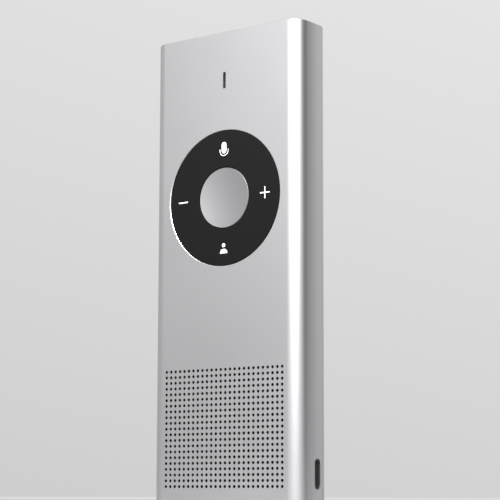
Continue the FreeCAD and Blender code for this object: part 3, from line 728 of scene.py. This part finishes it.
class TRANSLATOR_OT_inner_parts(bpy.types.Operator):
    """Finish the tray, boards, cell and other pieces inside the tube"""

    bl_idname = "translator.inner_parts"
    bl_label = "Finish inner parts"

    def execute(self, context):
        dress(MOULDINGS, moulded_plastic("tray_plastic", TRAY_GREY, 0.55))
        dress(DARK_MOULDINGS, moulded_plastic("black_plastic", BOX_BLACK, 0.5))
        dress(PLATED, rolled_steel("plated_steel", TIN_PLATE, 0.34, "Z"))
        dress(BOARDS, solder_mask("board_green", BOARD_GREEN))
        dress(("board_chips",), moulded_plastic("chip_black", CHIP_BLACK, 0.6))
        dress(("status_light",), moulded_plastic("light_chip", PHOSPHOR_YELLOW, 0.35))
        dress(RUBBERS, soft_rubber("black_rubber", RUBBER_BLACK, RUBBER_CELL))
        dress(FOAMS, soft_rubber("foam_grey", FOAM_GREY, FOAM_CELL))
        dress(("battery_cell",), pouch_foil("cell_foil", FOIL_SILVER))
        dress(("battery_plug",), moulded_plastic("plug_plastic", PLUG_CREAM, 0.45))
        dress(COPPERS, bare_metal("foil_copper", COPPER, 0.3))
        dress(("flat_cable",), amber_film("cable_film", FILM_AMBER))
        dress(LEADS, lead_sleeves("lead_sleeve", LEAD_RED, LEAD_BLACK))
        return {"FINISHED"}


class TRANSLATOR_OT_sound(bpy.types.Operator):
    """Finish the dust mesh and the speaker's cone"""

    bl_idname = "translator.sound"
    bl_label = "Finish speaker"

    def execute(self, context):
        dress(("grille_mesh",), dust_mesh("mesh_cloth", CLOTH_BLACK, THREAD_PITCH))
        dress(("speaker_cone",), moulded_plastic("cone_film", CONE_GREY, 0.4))
        return {"FINISHED"}


class TRANSLATOR_OT_port_contacts(bpy.types.Operator):
    """Lay five gilded contacts along the charging port's tongue"""

    bl_idname = "translator.port_contacts"
    bl_label = "Add port contacts"

    def execute(self, context):
        low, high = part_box("port_tongue")
        pitch = (high.z - low.z) / (CONTACT_COUNT + 0.5)
        width = pitch / 2
        mesh = bmesh.new()
        for i in range(CONTACT_COUNT):
            middle = (low.z + high.z) / 2 + (i - (CONTACT_COUNT - 1) / 2) * pitch
            start = Vector((low.x + CONTACT_INSET, low.y - CONTACT_LIFT, middle - width / 2))
            end = Vector((high.x - CONTACT_MOUTH, low.y + CONTACT_LIFT, middle + width / 2))
            add_block(mesh, start, end, CONTACT_ROUNDING)
        gilding = bare_metal("contact_gilding", GILDING, 0.25)
        piece_from(mesh, "port_contacts", gilding, "housing")
        return {"FINISHED"}


def soft_lamp(target, power):
    """The soft lamp in front of and above the face."""
    data = bpy.data.lights.new("front_lamp", "AREA")
    data.shape = "RECTANGLE"
    data.size, data.size_y = LAMP_SIZE
    data.energy = power
    data.spread = math.radians(LAMP_SPREAD)
    lamp = bpy.data.objects.new("front_lamp", data)
    bpy.context.scene.collection.objects.link(lamp)
    lamp.location = LAMP_PLACE
    lamp.rotation_euler = (target - lamp.location).to_track_quat("-Z", "Y").to_euler()


def studio_camera(studio):
    """The camera stands low before the right edge and looks up at the face."""
    camera = bpy.data.objects.new("camera", bpy.data.cameras.new("camera"))
    bpy.context.scene.collection.objects.link(camera)
    bpy.context.scene.camera = camera
    pitch, roll, heading = (math.radians(angle) for angle in studio.camera_turn)
    turn = Euler((0.0, 0.0, heading)).to_matrix() @ Euler((math.pi / 2 + pitch, 0.0, 0.0)).to_matrix()
    turn = turn @ Euler((0.0, 0.0, -roll)).to_matrix()
    camera.location = studio.camera_place
    camera.rotation_euler = turn.to_euler()
    camera.data.lens = studio.lens
    camera.data.shift_y = studio.camera_rise
    camera.data.clip_start = NEAREST
    camera.data.clip_end = FARTHEST


def studio_world(background):
    """A pale surround whose level changes with the direction round the object."""
    world = bpy.data.worlds.new("studio")
    bpy.context.scene.world = world
    graph = Graph(world)
    sky = graph.node("ShaderNodeTexCoord").outputs["Generated"]
    split = graph.node("ShaderNodeSeparateXYZ", inputs={"Vector": sky}).outputs
    across, along, up = (Value(graph, split[axis]) for axis in "XYZ")
    heading = graph.math("ARCTAN2", across, 0 - along) * (0.5 / math.pi) + 0.5
    ramp = graph.node("ShaderNodeValToRGB", inputs={"Fac": heading})
    shades = ramp.color_ramp.elements
    while len(shades) < len(SURROUND):
        shades.new(0.5)
    for element, (degrees, level) in zip(shades, SURROUND):
        level = background * level
        element.position = (degrees + 180) / 360
        element.color = (level, level, level * COOL_TINT, 1.0)
    rise = up * RISE_LEVEL + FOOT_LEVEL
    seen = graph.node("ShaderNodeBackground", inputs={"Color": ramp.outputs["Color"], "Strength": rise})
    plain = graph.node("ShaderNodeBackground", inputs={"Color": ROOM_LIGHT, "Strength": ROOM_STRENGTH})
    rays = graph.node("ShaderNodeLightPath").outputs
    direct = Value(graph, rays["Is Camera Ray"]) + Value(graph, rays["Is Glossy Ray"])
    direct = (direct + Value(graph, rays["Is Transmission Ray"])).clamped()
    graph.close(graph.mixed(direct, plain, seen), "ShaderNodeOutputWorld")


def studio_floor(size, background):
    """A wide round pale floor under the object's foot, which fades into the background."""
    mesh = bmesh.new()
    bmesh.ops.create_circle(mesh, cap_ends=True, segments=96, radius=size / 2)
    data = bpy.data.meshes.new("floor")
    mesh.to_mesh(data)
    mesh.free()
    floor = bpy.data.objects.new("floor", data)
    bpy.context.scene.collection.objects.link(floor)
    floor.location.z = -FLOOR_DROP
    material, graph = new_finish("floor_paper")
    tone = graph.noise(6.0, 2.0)
    paper = graph.principled(
        Base_Color=graph.blend(tone, PAPER_DARK, PAPER_PALE),
        Roughness=0.8,
        Normal=graph.bump(graph.noise(900.0, 2.0), 0.05, 0.05 * MM),
    )
    centre = graph.node("ShaderNodeVectorMath", {"operation": "LENGTH"}, {0: graph.position()})
    far = graph.spread(Value(graph, centre.outputs["Value"]), HAZE_START * size, HAZE_END * size)
    level = background * HAZE_LEVEL
    haze = graph.node("ShaderNodeEmission", inputs={"Color": (level, level, level, 1.0)})
    graph.close(graph.mixed(far, paper, haze))
    data.materials.append(material)


class TRANSLATOR_OT_stage(bpy.types.Operator):
    """Build the pale studio, its soft lamp and the camera"""

    bl_idname = "translator.stage"
    bl_label = "Build stage"

    def execute(self, context):
        studio = context.scene.translator_studio
        context.scene.view_settings.view_transform = "Standard"
        studio_world(studio.background)
        studio_floor(studio.floor_size, studio.background)
        soft_lamp(Vector((0, 0, CAD_BOUNDS[1].z * LAMP_AIM)), studio.front_lamp)
        studio_camera(studio)
        return {"FINISHED"}


class TRANSLATOR_PT_panel(bpy.types.Panel):
    """The translator's operators and settings in the sidebar"""

    bl_label = "Translator"
    bl_idname = "TRANSLATOR_PT_panel"
    bl_space_type = "VIEW_3D"
    bl_region_type = "UI"
    bl_category = "Translator"

    def draw(self, context):
        for operator in OPERATORS:
            self.layout.operator(operator.bl_idname)
        for group in (context.scene.translator_finish, context.scene.translator_studio):
            column = self.layout.column()
            for name in group.__annotations__:
                column.prop(group, name)


GROUPS = (TranslatorFinish, TranslatorStudio)
OPERATORS = (
    TRANSLATOR_OT_housing,
    TRANSLATOR_OT_keys,
    TRANSLATOR_OT_inner_parts,
    TRANSLATOR_OT_sound,
    TRANSLATOR_OT_port_contacts,
    TRANSLATOR_OT_stage,
)


def register():
    for made in (*GROUPS, *OPERATORS, TRANSLATOR_PT_panel):
        bpy.utils.register_class(made)
    bpy.types.Scene.translator_finish = PointerProperty(type=TranslatorFinish)
    bpy.types.Scene.translator_studio = PointerProperty(type=TranslatorStudio)


def unregister():
    del bpy.types.Scene.translator_studio
    del bpy.types.Scene.translator_finish
    for made in reversed((*GROUPS, *OPERATORS, TRANSLATOR_PT_panel)):
        bpy.utils.unregister_class(made)


def main():
    register()
    bpy.ops.translator.housing()
    bpy.ops.translator.keys()
    bpy.ops.translator.inner_parts()
    bpy.ops.translator.sound()
    bpy.ops.translator.port_contacts()
    bpy.ops.translator.stage()


if __name__ == "__main__":
    main()
